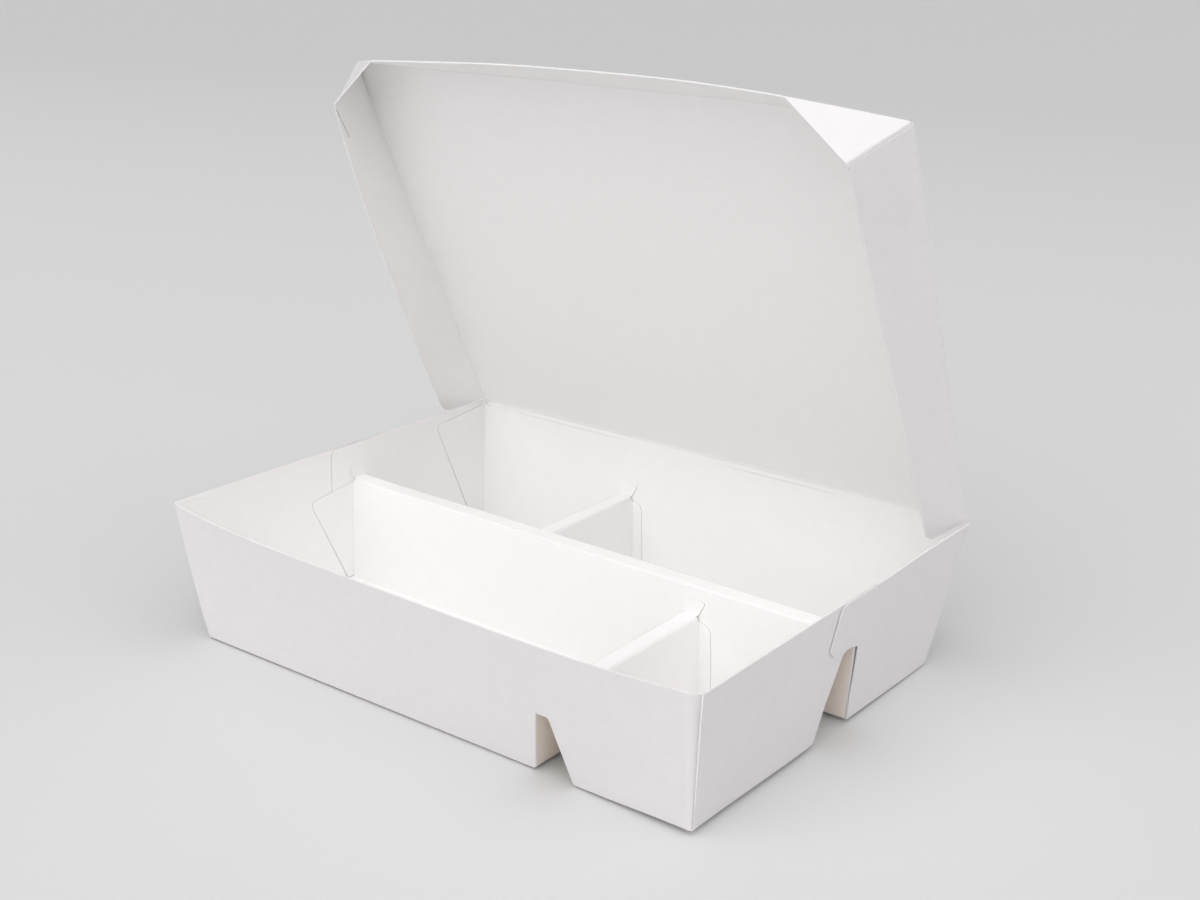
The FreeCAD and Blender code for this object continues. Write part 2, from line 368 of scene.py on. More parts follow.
def add_object(name: str, data: Any) -> bpy.types.Object:
    """Return a new object in the scene with this data."""
    thing = bpy.data.objects.new(name, data)
    bpy.context.scene.collection.objects.link(thing)
    return thing


def smooth(value: float) -> float:
    """Return a soft step from 0 to 1 as the value goes from 0 to 1."""
    held = min(1.0, max(0.0, value))
    return held * held * (3 - 2 * held)


def wander(point: Vector, span: float, depth: float) -> Vector:
    """Return the small wander of slack card at a point.

    Args:
        point: the place, in millimetres.
        span: how far apart the waves lie, in millimetres.
        depth: how far the card strays, in millimetres.
    """
    return noise.noise_vector(point / span) * depth


def swing(first: Vector, last: Vector, share: float) -> Vector:
    """Return the spoke of an arc between its first and last spokes."""
    length = first.length + (last.length - first.length) * share
    return first.slerp(last, share) * length


@dataclass
class Fold:
    """A crease between two panels, along the line where their outer faces would meet."""

    start: Vector
    end: Vector
    trim_start: float = CREASE_TRIM
    trim_end: float = CREASE_TRIM
    sides: list[tuple[Vector, Vector]] = field(default_factory=list)

    def direction(self) -> Vector:
        """Return the crease's unit direction."""
        return (self.end - self.start).normalized()

    def foot(self, point: Vector) -> Vector:
        """Return the place on the crease's line nearest to a point."""
        along = self.direction()
        return self.start + along * (point - self.start).dot(along)

    def trim(self, point: Vector) -> float:
        """Return how far a panel stops short of the crease at a point."""
        share = (point - self.start).dot(self.direction()) / (self.end - self.start).length
        share = min(1.0, max(0.0, share))
        return self.trim_start + (self.trim_end - self.trim_start) * share

    def rows(self) -> list[list[Vector]]:
        """Return the bend's points across its two ends, from the first panel to the second."""
        found = []
        for first, second in zip(*self.sides):
            first_foot = self.foot(first)
            second_foot = self.foot(second)
            first_arm = first - first_foot
            second_arm = second - second_foot
            half = first_arm.angle(second_arm) / 2
            reach = (first_arm.length + second_arm.length) / 2
            middle = (first_arm.normalized() + second_arm.normalized()).normalized()
            centre = middle * (reach / math.cos(half))
            row = []
            for step in range(CREASE_STEPS + 1):
                share = step / CREASE_STEPS
                spoke = swing(first_arm - centre, second_arm - centre, share)
                row.append(first_foot.lerp(second_foot, share) + centre + spoke)
            found.append(row)
        return found


def on_table(start: tuple[float, float], end: tuple[float, float]) -> Fold:
    """Return a crease that lies on the table between two places."""
    return Fold(Vector((*start, 0)), Vector((*end, 0)))


def area_normal(points: Sequence[Vector]) -> Vector:
    """Return the unit normal of a flat outline."""
    total = Vector((0, 0, 0))
    for index, point in enumerate(points):
        total += point.cross(points[(index + 1) % len(points)])
    return total.normalized()


def trimmed(points: Sequence[Vector], folds: dict[int, Fold]) -> list[Vector]:
    """Return a panel's corners, moved in from its creases.

    Args:
        points: the panel's corners as if its creases were sharp.
        folds: the crease on each edge that has one; edge 0 starts at corner 0.
    """
    middle = sum(points, Vector((0, 0, 0))) / len(points)
    normal = area_normal([point - middle for point in points])
    lines = []
    for index, start in enumerate(points):
        end = points[(index + 1) % len(points)]
        inward = normal.cross((end - start).normalized())
        fold = folds.get(index)
        near = fold.trim(start) if fold else 0.0
        far = fold.trim(end) if fold else 0.0
        lines.append((start + inward * near, end + inward * far))
    corners = []
    for index, line in enumerate(lines):
        before = lines[index - 1]
        crossing = intersect_line_line(before[0], before[1], line[0], line[1])
        corners.append(crossing[0] if crossing else line[0])
    return corners


def rounded(corners: Sequence[Vector], radii: dict[int, float]) -> list[Vector]:
    """Return an outline with an arc at each corner that has a radius."""
    outline = []
    for index, corner in enumerate(corners):
        if index not in radii:
            outline.append(corner)
            continue
        before = (corners[index - 1] - corner).normalized()
        after = (corners[(index + 1) % len(corners)] - corner).normalized()
        half = before.angle(after) / 2
        reach = radii[index] / math.tan(half)
        centre = corner + (before + after).normalized() * (radii[index] / math.sin(half))
        first = corner + before * reach - centre
        last = corner + after * reach - centre
        outline += [centre + swing(first, last, step / ARC_STEPS)
                    for step in range(ARC_STEPS + 1)]
    return outline


class CardSheet:
    """Folded card, drawn as its outer face in millimetres and then given its thickness."""

    def __init__(self, name: str) -> None:
        """Start an empty sheet."""
        self.name = name
        self.mesh = bmesh.new()
        self.part = self.mesh.faces.layers.int.new("part")
        self.crease = self.mesh.verts.layers.float.new("crease")
        self.folds: list[Fold] = []

    def panel(self, points: Sequence[Vector], outward: Vector,
              folds: Optional[dict[int, Fold]] = None,
              radii: Optional[dict[int, float]] = None, part: Part = Part.PLAIN) -> None:
        """Add a flat panel.

        Args:
            points: its corners on the outer face, as if the creases were sharp.
            outward: a direction on the outer side of the card.
            folds: the crease on each edge that has one; edge 0 starts at corner 0.
            radii: the radius of each corner that is rounded.
            part: the region that the panel bends with.
        """
        creases = folds or {}
        corners = trimmed(points, creases)
        for index, fold in creases.items():
            first = corners[index]
            second = corners[(index + 1) % len(corners)]
            if (second - first).dot(fold.direction()) < 0:
                first, second = second, first
            fold.sides.append((first, second))
            if fold not in self.folds:
                self.folds.append(fold)
        vertices = [self.mesh.verts.new(point) for point in rounded(corners, radii or {})]
        face = self.mesh.faces.new(vertices)
        face[self.part] = part.value
        face.normal_update()
        if face.normal.dot(outward) < 0:
            face.normal_flip()

    def bend_creases(self) -> None:
        """Join the panels with a rounded bend at each crease."""
        for fold in self.folds:
            if len(fold.sides) != 2:
                log.warning("a crease of %s has %d sides", self.name, len(fold.sides))
                continue
            rows = [[self.mesh.verts.new(point) for point in row] for row in fold.rows()]
            for row in rows:
                for vertex in row[1:-1]:
                    vertex[self.crease] = 1.0
            for step in range(CREASE_STEPS):
                self.mesh.faces.new((rows[0][step], rows[1][step],
                                     rows[1][step + 1], rows[0][step + 1]))
        bmesh.ops.remove_doubles(self.mesh, verts=self.mesh.verts[:], dist=WELD)

    def turn_outwards(self) -> None:
        """Turn each bend's faces the way of the panels that they join."""
        waiting = [face for face in self.mesh.faces if face[self.part]]
        seen = set(waiting)
        while waiting:
            face = waiting.pop()
            for loop in face.loops:
                other = loop.link_loop_radial_next
                if other.face in seen:
                    continue
                if other.vert == loop.vert:
                    other.face.normal_flip()
                seen.add(other.face)
                waiting.append(other.face)

    def slice(self, direction: Vector, spacing: float) -> None:
        """Cut the faces at even distances, so that the card can bend smoothly."""
        reaches = [vertex.co.dot(direction) for vertex in self.mesh.verts]
        level = math.floor(min(reaches) / spacing) * spacing + spacing / 2
        while level < max(reaches):
            everything = self.mesh.verts[:] + self.mesh.edges[:] + self.mesh.faces[:]
            bmesh.ops.bisect_plane(self.mesh, geom=everything, dist=WELD / 4,
                                   plane_co=direction * level, plane_no=direction)
            level += spacing

    def shift(self, move: Callable[[Vector], Vector], part: Optional[Part] = None) -> None:
        """Move every point, or those of one part's faces, by what the function gives."""
        vertices = set(self.mesh.verts)
        if part:
            vertices = {vertex for face in self.mesh.faces
                        if face[self.part] == part.value for vertex in face.verts}
        for vertex in vertices:
            vertex.co += move(vertex.co.copy())

    def finish(self, finishes: BoardFinishes) -> bpy.types.Object:
        """Give the sheet its thickness and its finishes.

        Args:
            finishes: the materials of its faces and cut edges.

        Returns:
            The finished piece, in metres.
        """
        for face in self.mesh.faces:
            # the tunnel faces take the board with painted light, the rest take the outer board
            face.material_index = 0 if face[self.part] == Part.TUNNEL.value else 1
        wide = [face for face in self.mesh.faces if len(face.verts) > 4]
        bmesh.ops.triangulate(self.mesh, faces=wide)
        bmesh.ops.scale(self.mesh, vec=Vector((MM, MM, MM)), verts=self.mesh.verts[:])
        data = bpy.data.meshes.new(self.name + "_face")
        self.mesh.to_mesh(data)
        self.mesh.free()
        faces = (finishes.tunnel, finishes.outer)
        backs = (finishes.food, finishes.food)
        rims = (finishes.edge, finishes.edge)
        for material in (*faces, *backs, *rims):
            data.materials.append(material)
        draft = add_object(self.name + "_draft", data)
        thicken = draft.modifiers.new("thickness", "SOLIDIFY")
        thicken.thickness = CARD * MM
        thicken.offset = -1.0
        thicken.use_even_offset = True
        thicken.use_quality_normals = True
        thicken.material_offset = len(faces)
        thicken.material_offset_rim = len(faces) + len(backs)
        return set_piece(draft, self.name)


def set_piece(draft: bpy.types.Object, name: str) -> bpy.types.Object:
    """Apply a draft's modifiers and shade it smooth across its bends.

    Args:
        draft: the object with its modifiers still live.
        name: the name of the piece that takes its place.

    Returns:
        The piece.
    """
    graph = bpy.context.evaluated_depsgraph_get()
    solid = bpy.data.meshes.new_from_object(draft.evaluated_get(graph))
    solid.name = name
    solid.polygons.foreach_set("use_smooth", [True] * len(solid.polygons))
    solid.set_sharp_from_angle(angle=SHARP_ANGLE)
    piece = add_object(name, solid)
    bpy.data.objects.remove(draft)
    weighted = piece.modifiers.new("flat_faces_lead", "WEIGHTED_NORMAL")
    weighted.keep_sharp = True
    weighted.weight = FLAT_FACE_WEIGHT
    return piece


@dataclass
class CrossRidge:
    """Where a cross ridge stands in its trough, in millimetres."""

    side: int
    centre: float
    half_foot: float = 7.8
    half_crest: float = 2.9
    top: float = 29.0

    def wall_x(self, hand: int, z: float) -> float:
        """Return where the tunnel face of the left (-1) or right (1) wall stands."""
        share = z / self.top
        return self.centre + hand * (self.half_foot + (self.half_crest - self.half_foot) * share)


@dataclass
class Tray:
    """The tray: troughs, end walls, ridges and glue flaps, in millimetres."""

    rim_half_length: float
    rim_half_width: float
    height: float
    base_half_length: float = 107.55
    base_half_width: float = 72.0
    hinge_lap: float = 1.4
    ridge_y: float = 5.3
    ridge_top: float = 38.5
    ridge_half_foot: float = 10.0
    ridge_half_crest: float = 3.05
    edge_setback: float = 1.0
    rim_corner_trim: float = 5.6
    plain_corner_trim: float = 1.3
    foot_corner_trim: float = 0.9
    mouth_height: float = 25.2
    mouth_half_foot: float = 8.05
    mouth_half_top: float = 3.5
    mouth_lean: float = 1.6
    mouth_radius: float = 1.2
    mouth_flap_reach: float = 30.0
    notch_rise: float = 1.2
    notch_slant: float = 0.2
    floor_notch: float = 1.8
    floor_notch_slant: float = 0.5
    end_mouth_crown: float = 33.4
    end_mouth_crown_lap: float = 0.2
    end_mouth_shoulder: float = 31.9
    end_mouth_front_top: float = 4.2
    end_mouth_front_foot: float = 13.1
    end_mouth_chamfer: float = 2.2
    end_mouth_chamfer_height: float = 2.6
    end_mouth_rear_top: float = 4.6
    end_mouth_rear_foot: float = 9.9
    end_mouth_radius: float = 1.5
    flap_foot: float = 0.8
    corner_flap_reach: float = 31.0
    corner_flap_drop: float = 4.3
    corner_flap_foot: float = 6.0
    ridge_flap_reach: float = 23.4
    ridge_flap_drop: float = 3.7
    ridge_flap_heel: float = 3.4
    flap_radius: float = 2.0
    flap_sink: float = 0.3
    tab_radius: float = 1.0
    crest_tab_rise: float = 5.1
    crest_tab_shoulder: float = 1.0
    crest_tab_margin: float = 1.4
    cross_tab_rise: float = 5.5
    cross_tab_margin: float = 2.4
    side_tab_reach: float = 5.0
    side_tab_drop: float = 1.5
    side_tab_radius: float = 4.0
    seam_front: float = -9.6
    seam_low: float = 34.4
    seam_slant: float = 2.6
    seam_step: float = 3.0
    seam_radius: float = 3.0
    seam_bend_start: float = 52.0
    seam_bend: float = 34.0
    seam_gap: float = 0.18
    left_seam_step: float = 0.3
    bulge: float = 4.3
    bulge_drop: float = 1.1
    bulge_start: float = 40.0
    bulge_blend: float = 28.0
    foot_lift: float = 1.3
    foot_lift_start: float = 62.0
    foot_lift_height: float = 26.0
    foot_forward: float = 5.0
    foot_inward: float = 1.4
    foot_inward_start: float = 62.0
    foot_forward_start: float = 45.0
    foot_skew_start: float = 8.0
    hidden_half_end: float = 15.0
    hidden_half_rise: float = 0.4
    slack_span: float = 55.0
    slack_depth: float = 0.35
    slack_start: float = 12.0
    ridges: dict[int, CrossRidge] = field(
        default_factory=lambda: {-1: CrossRidge(-1, 54.3), 1: CrossRidge(1, -32.1)})
    wall_foot: dict[tuple[int, int], Fold] = field(default_factory=dict, init=False)
    ridge_foot: dict[tuple[int, int], Fold] = field(default_factory=dict, init=False)
    cross_foot: dict[tuple[int, int], Fold] = field(default_factory=dict, init=False)
    end_foot: dict[tuple[int, int], Fold] = field(default_factory=dict, init=False)
    corner: dict[tuple[int, int], Fold] = field(default_factory=dict, init=False)
    ridge_end: dict[tuple[int, int], Fold] = field(default_factory=dict, init=False)
    crest: dict[int, Fold] = field(default_factory=dict, init=False)
    crest_end: dict[int, Fold] = field(default_factory=dict, init=False)
    mouth_fold: Optional[Fold] = field(default=None, init=False)

    def __post_init__(self) -> None:
        """Lay out every crease that two panels share."""
        top = self.ridge_top
        for side, ridge in self.ridges.items():
            wall_y = side * self.base_half_width
            ridge_y = self.ridge_face(side, 0.0)
            for hand in (-1, 1):
                near = ridge.wall_x(hand, 0.0)
                far = hand * self.base_half_length
                self.wall_foot[side, hand] = on_table((near, wall_y), (far, wall_y))
                self.ridge_foot[side, hand] = on_table((near, ridge_y), (far, ridge_y))
                self.end_foot[hand, side] = on_table((far, ridge_y), (far, wall_y))
                self.cross_foot[side, hand] = Fold(
                    self.before(side, near, 0.0, 0.0), self.behind(side, near, 0.0, 0.0))
                wide = hand > 0 and side < 0
                self.corner[hand, side] = Fold(
                    self.on_wall(side, self.end_x(hand, 0.0), 0.0),
                    self.on_wall(side, self.end_x(hand, self.height), self.height),
                    self.foot_corner_trim,
                    self.rim_corner_trim if wide else self.plain_corner_trim)
                self.ridge_end[hand, side] = Fold(
                    self.on_ridge(side, self.end_x(hand, 0.0), 0.0),
                    self.on_ridge(side, self.end_x(hand, top), top))
            self.crest[side] = Fold(self.on_ridge(side, self.end_x(-1, top), top),
                                    self.on_ridge(side, self.end_x(1, top), top))
        for end in (-1, 1):
            x = self.end_x(end, top)
            self.crest_end[end] = Fold(self.on_ridge(-1, x, top), self.on_ridge(1, x, top))
        self.mouth_fold = Fold(self.mouth_edge(0.0), self.mouth_edge(self.mouth_height))

    @classmethod
    def from_frame(cls) -> "Tray":
        """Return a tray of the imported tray's size."""
        low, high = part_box("tray")
        return cls(rim_half_length=-low.x / MM, rim_half_width=high.y / MM, height=high.z / MM)

    def half_length(self, z: float) -> float:
        """Return how far an end wall's outer face stands from the middle."""
        slope = (self.rim_half_length - self.base_half_length) / self.height
        return self.base_half_length + slope * z

    def half_width(self, z: float) -> float:
        """Return how far the front wall's outer face stands from the middle."""
        slope = (self.rim_half_width - self.base_half_width) / self.height
        return self.base_half_width + slope * z

    def on_wall(self, side: int, x: float, z: float, inset: float = 0.0) -> Vector:
        """Return a point on the front (-1) or rear (1) wall, moved in by the inset."""
        lean = math.hypot(1.0, (self.rim_half_width - self.base_half_width) / self.height)
        return Vector((x, side * (self.half_width(z) - inset * lean), z))

    def on_end(self, end: int, y: float, z: float, inset: float = 0.0) -> Vector:
        """Return a point on the left (-1) or right (1) end wall, moved in by the inset."""
        lean = math.hypot(1.0, (self.rim_half_length - self.base_half_length) / self.height)
        return Vector((end * (self.half_length(z) - inset * lean), y, z))

    def ridge_face(self, side: int, z: float) -> float:
        """Return where the tunnel face of the long ridge's wall stands."""
        share = z / self.ridge_top
        half = self.ridge_half_foot + (self.ridge_half_crest - self.ridge_half_foot) * share
        return self.ridge_y + side * half

    def on_ridge(self, side: int, x: float, z: float, outset: float = 0.0) -> Vector:
        """Return a point on a wall of the long ridge, moved out of the tunnel."""
        slope = (self.ridge_half_foot - self.ridge_half_crest) / self.ridge_top
        away = outset * math.hypot(1.0, slope)
        return Vector((x, self.ridge_face(side, z) + side * away, z))

    def end_x(self, end: int, z: float) -> float:
        """Return where the trough's walls stop, just inside an end wall."""
        return self.on_end(end, 0.0, z, CARD + SEAT).x

    def mouth_edge(self, z: float) -> Vector:
        """Return a point of the crease beside the front mouth, over the ridge's left wall."""
        ridge = self.ridges[-1]
        lean = self.mouth_lean * z / self.mouth_height
        return self.on_wall(-1, ridge.wall_x(-1, z) + CARD + SEAT + lean, z)

    def notch(self, place: Place, ridge: CrossRidge) -> list[Vector]:
        """Return the low notch in a wall's foot, over the tunnel of a cross ridge."""
        left = ridge.wall_x(-1, 0.0)
        right = ridge.wall_x(1, 0.0)
        return [place(left, 0.0), place(left + self.notch_slant, self.notch_rise),
                place(right - self.notch_slant, self.notch_rise), place(right, 0.0)]

    def around(self, place: Place, opening: Sequence[Vector], top: float) -> list[Vector]:
        """Return the corners of a wall from end to end, around the opening in its foot."""
        return [place(self.end_x(-1, 0.0), 0.0), *opening, place(self.end_x(1, 0.0), 0.0),
                place(self.end_x(1, top), top), place(self.end_x(-1, top), top)]

    def long_walls(self, sheet: CardSheet) -> None:
        """Add the front and rear walls."""
        for side, ridge in self.ridges.items():
            place = partial(self.on_wall, side)
            opening = self.notch(place, ridge)
            top = self.height - self.hinge_lap
            folds = {0: self.wall_foot[side, -1], 4: self.wall_foot[side, 1],
                     5: self.corner[1, side], 7: self.corner[-1, side]}
            radii = {}
            if side < 0:
                opening = [
                    self.mouth_edge(0.0), self.mouth_edge(self.mouth_height),
                    place(ridge.centre + self.mouth_half_top, self.mouth_height),
                    place(ridge.centre + self.mouth_half_foot, 0.0)]
                top = self.height
                folds[1] = self.mouth_fold
                radii = {3: self.mouth_radius}
            sheet.panel(self.around(place, opening, top), Vector((0, side, 0)), folds, radii)

    def mouth_flap(self, sheet: CardSheet) -> None:
        """Add the flap that turns in at the front mouth, on the ridge's left wall."""
        back = Vector((0, self.mouth_flap_reach, 0))
        low = self.mouth_edge(self.notch_rise)
        high = self.mouth_edge(self.mouth_height)
        sheet.panel([low, high, high + back, low + back], Vector((1, 0, 0)),
                    {0: self.mouth_fold}, part=Part.TUNNEL)

    def floors(self, sheet: CardSheet) -> None:
        """Add the floor of each compartment."""
        mouth_feet = {
            -1: self.ridge_y - self.end_mouth_front_foot - self.end_mouth_chamfer,
            1: self.ridge_y + self.ridge_half_foot + self.floor_notch}
        for side, ridge in self.ridges.items():
            wall_y = side * self.base_half_width
            ridge_y = self.ridge_face(side, 0.0)
            mouth_y = mouth_feet[side]
            for hand in (-1, 1):
                near = ridge.wall_x(hand, 0.0)
                far = hand * self.base_half_length
                short = far - hand * (CARD + SEAT)
                corners = [(near, wall_y), (far, wall_y), (far, mouth_y),
                           (short, mouth_y - side * self.floor_notch_slant),
                           (short, ridge_y), (near, ridge_y)]
                folds = {0: self.wall_foot[side, hand], 1: self.end_foot[hand, side],
                         4: self.ridge_foot[side, hand], 5: self.cross_foot[side, hand]}
                sheet.panel([Vector((x, y, 0)) for x, y in corners], Vector((0, 0, -1)), folds)

    def long_ridge(self, sheet: CardSheet) -> None:
        """Add the walls and crest of the divider that runs from end to end."""
        top = self.ridge_top
        for side, ridge in self.ridges.items():
            place = partial(self.on_ridge, side)
            folds = {0: self.ridge_foot[side, -1], 4: self.ridge_foot[side, 1],
                     5: self.ridge_end[1, side], 6: self.crest[side],
                     7: self.ridge_end[-1, side]}
            sheet.panel(self.around(place, self.notch(place, ridge), top),
                        Vector((0, -side, 0)), folds, part=Part.TUNNEL)
        crest = [self.on_ridge(side, self.end_x(end, top), top)
                 for side, end in ((-1, -1), (-1, 1), (1, 1), (1, -1))]
        folds = {0: self.crest[-1], 1: self.crest_end[1], 2: self.crest[1], 3: self.crest_end[-1]}
        sheet.panel(crest, Vector((0, 0, -1)), folds, part=Part.TUNNEL)

    def end_panel(self, sheet: CardSheet, end: int, places: Sequence[tuple[float, float]],
                  inset: float, folds: dict[int, Fold], radii: dict[int, float],
                  part: Part = Part.PLAIN) -> None:
        """Add a panel on an end wall.

        Args:
            sheet: the sheet that it belongs to.
            end: the left (-1) or right (1) end.
            places: how far across and how high each corner lies.
            inset: how far it stands in from the wall's outer face.
            folds: the crease on each edge that has one.
            radii: the radius of each corner that is rounded.
            part: the region that the panel bends with.
        """
        points = [self.on_end(end, across, up, inset) for across, up in places]
        sheet.panel(points, Vector((end, 0, 0)), folds, radii, part)

    def glue_flaps(self, sheet: CardSheet) -> None:
        """Add the flaps glued to the inner face of each end wall."""
        inset = CARD + SEAT
        centre = self.ridge_y
        low = self.flap_foot
        high = self.ridge_top - CARD
        half = self.ridge_half_crest
        heel = self.ridge_half_foot + self.ridge_flap_heel
        wide = half + self.crest_tab_margin
        shoulder = self.ridge_top + self.crest_tab_shoulder
        top = self.ridge_top + self.crest_tab_rise
        for end in (-1, 1):
            for side in (-1, 1):
                rim = self.height if side < 0 else self.height - self.hinge_lap
                corner = [
                    (side * self.half_width(low), low), (side * self.half_width(rim), rim),
                    (side * (self.rim_half_width - self.corner_flap_reach),
                     self.height - self.corner_flap_drop),
                    (side * (self.base_half_width - self.corner_flap_foot), low)]
                self.end_panel(sheet, end, corner, inset, {0: self.corner[end, side]},
                               {2: self.flap_radius}, Part.GLUE_FLAP)
                flap = [
                    (self.ridge_face(side, low), low), (self.ridge_face(side, high), high),
                    (centre + side * (half + self.ridge_flap_reach),
                     self.ridge_top - self.ridge_flap_drop),
                    (centre + side * heel, low)]
                self.end_panel(sheet, end, flap, inset, {0: self.ridge_end[end, side]},
                               {2: self.flap_radius}, Part.GLUE_FLAP)
            tab = [(centre - half, self.ridge_top), (centre + half, self.ridge_top),
                   (centre + wide, shoulder), (centre + wide, top), (centre - wide, top),
                   (centre - wide, shoulder)]
            self.end_panel(sheet, end, tab, inset, {0: self.crest_end[end]},
                           {3: self.tab_radius, 4: self.tab_radius})

    def end_walls(self, sheet: CardSheet) -> None:
        """Add the two halves of each end wall, which overlap above the long tunnel."""
        centre = self.ridge_y
        set_in = self.edge_setback
        seam = self.seam_front
        front_foot = centre - self.end_mouth_front_foot
        front = [
            (-self.base_half_width + set_in, 0.0), (-self.rim_half_width + set_in, self.height),
            (self.hidden_half_end, self.height),
            (self.hidden_half_end, self.seam_low + self.hidden_half_rise),
            (centre + self.end_mouth_crown_lap, self.end_mouth_crown),
            (centre - self.end_mouth_front_top, self.end_mouth_shoulder),
            (front_foot, self.end_mouth_chamfer_height),
            (front_foot - self.end_mouth_chamfer, 0.0)]
        rear = [
            (self.base_half_width - set_in, 0.0), (centre + self.end_mouth_rear_foot, 0.0),
            (centre + self.end_mouth_rear_top, self.end_mouth_shoulder),
            (centre, self.end_mouth_crown), (seam + self.seam_step, self.seam_low),
            (seam, self.seam_low + self.seam_slant), (seam + self.seam_slant, self.height),
            (self.rim_half_width - set_in, self.height)]
        for end, part in ((-1, Part.LEFT_OVERLAP), (1, Part.RIGHT_OVERLAP)):
            self.end_panel(sheet, end, front, 0.0, {7: self.end_foot[end, -1]},
                           {5: self.end_mouth_radius, 6: self.end_mouth_radius})
            self.end_panel(sheet, end, rear, 0.0, {0: self.end_foot[end, 1]},
                           {2: self.end_mouth_radius, 5: self.tab_radius, 6: self.seam_radius},
                           part)

    def behind(self, side: int, x: float, z: float, gap: float) -> Vector:
        """Return a point before the food face of the wall that a cross ridge runs back to."""
        if side < 0:
            return self.on_ridge(-1, x, z, gap)
        return self.on_wall(1, x, z, gap)

    def before(self, side: int, x: float, z: float, gap: float) -> Vector:
        """Return a point before the food face of the wall that a cross ridge starts from."""
        if side < 0:
            return self.on_wall(-1, x, z, gap)
        return self.on_ridge(1, x, z, gap)

    def cross_ridge(self, sheet: CardSheet, ridge: CrossRidge) -> None:
        """Add one cross ridge with the tabs that hold it to the wall behind."""
        gap = CARD + SEAT
        top = ridge.top
        near = partial(self.before, ridge.side)
        far = partial(self.behind, ridge.side)
        front = {hand: near(ridge.wall_x(hand, top), top, gap) for hand in (-1, 1)}
        back = {hand: far(ridge.wall_x(hand, top), top, gap) for hand in (-1, 1)}
        crest = {hand: Fold(front[hand], back[hand]) for hand in (-1, 1)}
        back_fold = Fold(back[-1], back[1])
        side_fold = Fold(far(ridge.wall_x(1, 0.0), 0.0, gap), back[1])
        for hand in (-1, 1):
            foot = ridge.wall_x(hand, 0.0)
            folds = {0: self.cross_foot[ridge.side, hand], 2: crest[hand]}
            if hand > 0:
                folds[1] = side_fold
            sheet.panel([near(foot, 0.0, gap), far(foot, 0.0, gap), back[hand], front[hand]],
                        Vector((-hand, 0, 0)), folds, part=Part.TUNNEL)
        sheet.panel([front[1], front[-1], back[-1], back[1]], Vector((0, 0, -1)),
                    {1: crest[-1], 2: back_fold, 3: crest[1]})
        pressed = gap - self.flap_sink
        facing = Vector((0, 1, 0))
        rise = top + self.cross_tab_rise
        wide = ridge.half_crest + self.cross_tab_margin
        tab = [back[-1], back[1], far(ridge.centre + wide, rise, pressed),
               far(ridge.centre - wide, rise, pressed)]
        sheet.panel(tab, facing, {0: back_fold}, {2: self.tab_radius, 3: self.tab_radius})
        low = self.flap_foot
        high = top - self.side_tab_drop
        low_x = ridge.wall_x(1, low)
        high_x = ridge.wall_x(1, high)
        reach = self.side_tab_reach
        strip = [far(low_x, low, gap), far(high_x, high, gap),
                 far(high_x + reach, high, pressed), far(low_x + reach, low, pressed)]
        sheet.panel(strip, facing, {0: side_fold}, {2: self.side_tab_radius, 3: self.tab_radius})

    def overlap(self, away: float, point: Vector) -> Vector:
        """Return how the rear half of an end wall steps past the front half at a point."""
        across = smooth((self.seam_bend_start - point.y) / self.seam_bend)
        up = smooth((point.z - self.end_mouth_chamfer_height) / self.seam_low)
        return Vector((away * across * up, 0, 0))

    def bulge_front(self, point: Vector) -> Vector:
        """Return the bulge of the front wall, which tips out and so drops at its rim."""
        across = 1.0 - min(1.0, abs(point.x) / self.rim_half_length) ** 4
        near = smooth((-point.y - self.bulge_start) / self.bulge_blend)
        share = across * near * point.z / self.height
        return Vector((0, -self.bulge * share, -self.bulge_drop * share))

    def raise_foot(self, point: Vector) -> Vector:
        """Return how the springy foot of the right end stands clear of the table."""
        reach = self.base_half_length - self.foot_lift_start
        along = smooth((point.x - self.foot_lift_start) / reach)
        across = smooth((self.base_half_width - point.y) / self.base_half_width)
        low = 1.0 - smooth(point.z / self.foot_lift_height)
        return Vector((0, 0, self.foot_lift * along * across * low))

    def skew_foot(self, point: Vector) -> Vector:
        """Return how the front foot lies askew: forward at the left, inward at the right."""
        low = max(0.0, 1.0 - point.z / self.height)
        reach = self.base_half_width - self.foot_skew_start
        front = smooth((-point.y - self.foot_skew_start) / reach)
        to_left = self.foot_forward_start + self.base_half_length
        to_right = self.base_half_length - self.foot_inward_start
        left = max(0.0, (self.foot_forward_start - point.x) / to_left)
        right = smooth((point.x - self.foot_inward_start) / to_right)
        return Vector((-self.foot_inward * right, -self.foot_forward * left, 0)) * front * low

    def press_flap(self, point: Vector) -> Vector:
        """Return how a glued flap is pressed into the end wall towards its free edge."""
        outward = -1 if point.x < 0 else 1
        from_wall = self.half_width(point.z) - abs(point.y)
        from_ridge = abs(point.y - self.ridge_y) - (self.ridge_face(1, point.z) - self.ridge_y)
        share = min(from_wall / self.corner_flap_reach, from_ridge / self.ridge_flap_reach)
        return Vector((outward * self.flap_sink * smooth(share), 0, 0))

    def settle(self, point: Vector) -> Vector:
        """Return the tray's small unevenness at a point; its foot stays on the table."""
        stray = wander(point, self.slack_span, self.slack_depth)
        lifted = smooth(point.z / self.slack_start)
        return Vector((stray.x * lifted, stray.y * lifted, 0.0))

